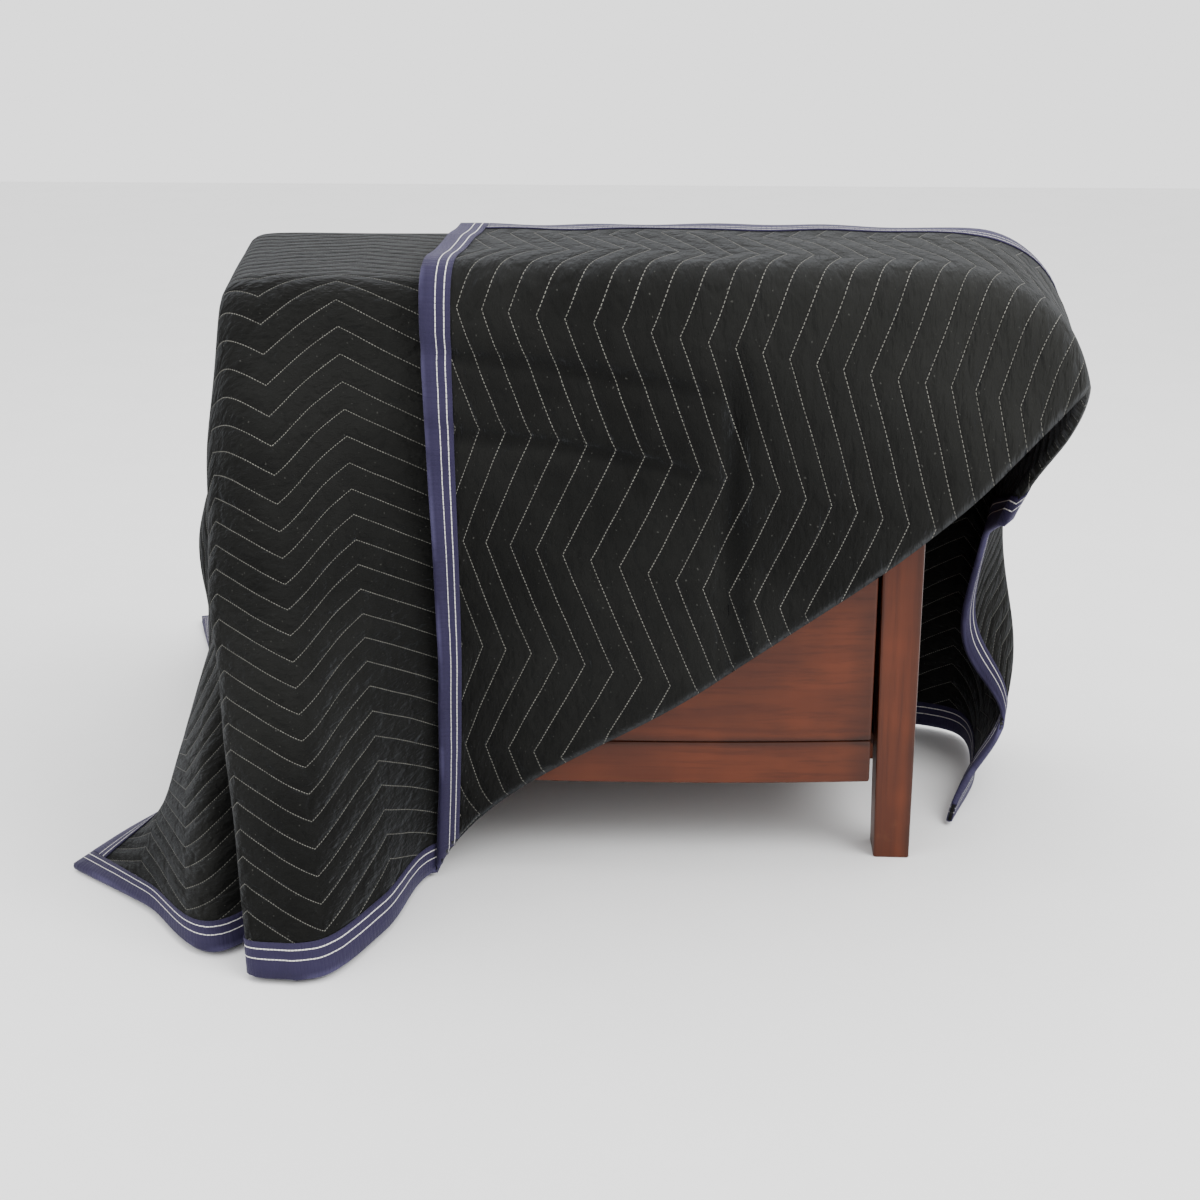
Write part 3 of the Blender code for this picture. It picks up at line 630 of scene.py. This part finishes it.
# %% The tape's material
material, tree, shader, place, flat = new_material("binding_tape", {
    "Roughness": 0.62, "Sheen Weight": 0.08, "Sheen Roughness": 0.4,
    "Sheen Tint": colour(0.7, 0.68, 1.0), "Specular IOR Level": 0.15})
THREADS_APART, TAPE_STITCH = 0.0011, 0.0058
ROW_AT = (0.0066, 0.0170)
ROW_HALF, ROW_EDGE = 0.00045, 0.00085
a, b, _ = flat.axes()
warp = (a * (2 * math.pi / THREADS_APART)).math("SINE")
weft = (b * (2 * math.pi / THREADS_APART)).math("SINE")
weave = warp * weft * 0.5 + 0.5
sway = flat.stretched((30.0, 1.0, 1.0)).noise(1.0, 2.0) * 0.0014
upper_row = 1 - (b - ROW_AT[0] - sway).math("ABSOLUTE").band(ROW_HALF, ROW_EDGE)
lower_row = 1 - (b - ROW_AT[1] - sway).math("ABSOLUTE").band(0.00040, 0.00080)
step = ((a / TAPE_STITCH).math("FRACT") - 0.5).math("ABSOLUTE")
thread = (upper_row + lower_row) * (1 - step.band(0.43, 0.48) * 0.8)
pull = step.band(0.2, 0.5)
ripple = flat.stretched((150.0, 18.0, 1.0)).noise(1.0, 3.0, 0.6)
streak = flat.stretched((8.0, 320.0, 1.0)).noise(1.0, 3.0, 0.6)
patch = place.noise(11.0, 3.0, 0.6)
edge_wear = b.band(0.030, 0.036) * patch.band(0.40, 0.65)
tape_dark, tape_light = colour(0.011, 0.0085, 0.026), colour(0.032, 0.026, 0.066)
tape_colour = (patch * 0.6 + streak * 0.4).mix(tape_dark, tape_light)
tape_colour = (weave * 0.35).mix(tape_colour, colour(0.008, 0.006, 0.022))
tape_colour = (edge_wear * 0.5).mix(tape_colour, colour(0.080, 0.072, 0.15))
tape_colour = thread.mix(tape_colour, colour(0.70, 0.69, 0.66))
link(tape_colour, shader.inputs["Base Color"])
link(0.56 + weave * 0.12 + patch * 0.12, shader.inputs["Roughness"])
folds = bump(ripple * 0.9 + (1 - pull) * 0.2, 0.0012, 0.9, None)
woven = bump(weave, 0.00022, 0.8, None, folds)
bump(thread - (upper_row + lower_row) * 0.5, 0.0008, 1.0, shader.inputs["Normal"], woven)
for obj in tapes:
    obj.data.materials.append(material)
print("tape:", len(tree.nodes), "nodes")

# %% [markdown]
# The chest's wood is one stain over a straight grain. Grain is noise stretched a long way along the
# board, here along X for boards and along Z for legs, with a few broad rings bent through it.

# %% The wood's materials
CHEST_MIDDLE, LEG_CENTRE, GROOVE_Z = 0.055, 0.364, 0.153


def stained_wood(name, along_z):
    material, tree, shader, place, _ = new_material(name, {
        "Coat Weight": 0.06, "Coat Roughness": 0.30, "Specular IOR Level": 0.22})
    stretch = (22.0, 22.0, 1.6) if along_z else (1.6, 22.0, 22.0)
    fine = (170.0, 170.0, 5.0) if along_z else (5.0, 170.0, 170.0)
    bent = place.stretched(stretch)
    rings = (bent.noise(1.0, 3.0, 0.55) * 26.0).math("SINE") * 0.5 + 0.5
    pores = place.stretched(fine).noise(1.0, 4.0, 0.65)
    tone = place.stretched(tuple(v / 4 for v in stretch)).noise(1.0, 3.0, 0.5)
    x, _, z = place.axes()
    low = 1 - z.band(0.0, 0.10)
    rubbed = place.noise(16.0, 4.0, 0.65).band(0.56, 0.72)
    grain = rings * 0.22 + tone * 0.60 + 0.08
    wood = grain.mix(colour(0.036, 0.0062, 0.0018), colour(0.118, 0.0255, 0.0068))
    wood = (pores.band(0.46, 0.72) * 0.40).mix(wood, colour(0.024, 0.005, 0.002))
    # The legs are darker towards their edges. The boards get painted shade: darker in the groove and towards
    # their ends beside the legs, where shade falls.
    across = (x - CHEST_MIDDLE).math("ABSOLUTE")
    if along_z:
        edges = (across - LEG_CENTRE).math("ABSOLUTE").band(0.012, 0.026)
    else:
        groove_shade = 1 - (z - GROOVE_Z).math("ABSOLUTE").band(0.0008, 0.010)
        edges = across.band(0.300, 0.338) * 0.7 + groove_shade
    clouds = place.noise(7.0, 3.0, 0.6).band(0.40, 0.62)
    # One darker colour carries this painted shade, the legs' darker edges and dark clouds in the stain.
    wood = (edges * 0.60 + clouds * 0.30).mix(wood, colour(0.022, 0.0055, 0.0022))
    wood = (low * rubbed * 0.25).mix(wood, colour(0.17, 0.075, 0.030))
    link(wood, shader.inputs["Base Color"])
    link(0.34 + pores * 0.16 + rubbed * 0.08, shader.inputs["Roughness"])
    soft = bump(rings, 0.0003, 0.5, None)
    bump(pores, 0.00025, 0.7, shader.inputs["Normal"], soft)
    return material


board_wood = stained_wood("stained_wood_boards", False)
leg_wood = stained_wood("stained_wood_legs", True)
BOARDS = ("top_board", "front_panel", "front_rail", "back_panel", "side_left", "side_right", "bottom_board")
for obj in bpy.data.objects:
    if obj.name.startswith("leg_") or obj.name in BOARDS:
        obj.data.materials.clear()
        obj.data.materials.append(leg_wood if obj.name.startswith("leg_") else board_wood)
print("wood on boards and legs")

# %% [markdown]
# A wide pale floor under a pale sky makes a plain bright space. Most of the light comes from that sky.
# One large soft panel to the right, a weaker one to the left and one overhead model the folds.

# %% Floor and light
bpy.ops.mesh.primitive_plane_add(size=14.0, location=(0.0, 0.0, -0.0006))
floor = bpy.context.object
floor.name = "floor"
bpy.ops.object.transform_apply(location=True, rotation=True, scale=True)
material, tree, shader, place, _ = new_material("pale_floor", {
    "Roughness": 0.6, "Specular IOR Level": 0.3})
mottled = place.noise(5.0, 4.0, 0.6)
link(mottled.mix(colour(0.80, 0.80, 0.80), colour(0.86, 0.86, 0.86)), shader.inputs["Base Color"])
bump(place.noise(140.0, 3.0, 0.6), 0.0004, 0.4, shader.inputs["Normal"])
floor.data.materials.append(material)

world = bpy.data.worlds.new("pale_sky")
world.use_nodes = True
world.node_tree.nodes["Background"].inputs["Color"].default_value = (1.0, 1.0, 1.0, 1.0)
world.node_tree.nodes["Background"].inputs["Strength"].default_value = 1.9
bpy.context.scene.world = world


def soft_panel(name, spot, aim, size, power):
    """A square lamp at spot that faces aim."""
    data = bpy.data.lights.new(name, "AREA")
    data.shape, data.size, data.energy = "SQUARE", size, power
    lamp = bpy.data.objects.new(name, data)
    lamp.location = spot
    turn = mathutils.Vector(aim) - mathutils.Vector(spot)
    lamp.rotation_euler = turn.to_track_quat("-Z", "Y").to_euler()
    bpy.context.scene.collection.objects.link(lamp)


soft_panel("panel_right", (2.2, -1.4, 2.6), (0.1, 0.0, 0.4), 2.0, 95.0)
soft_panel("panel_left", (-2.6, -1.8, 1.8), (0.0, 0.0, 0.4), 2.2, 32.0)
soft_panel("panel_top", (0.0, 0.3, 3.2), (0.0, 0.0, 0.5), 2.4, 45.0)
print("floor, sky and three panels")
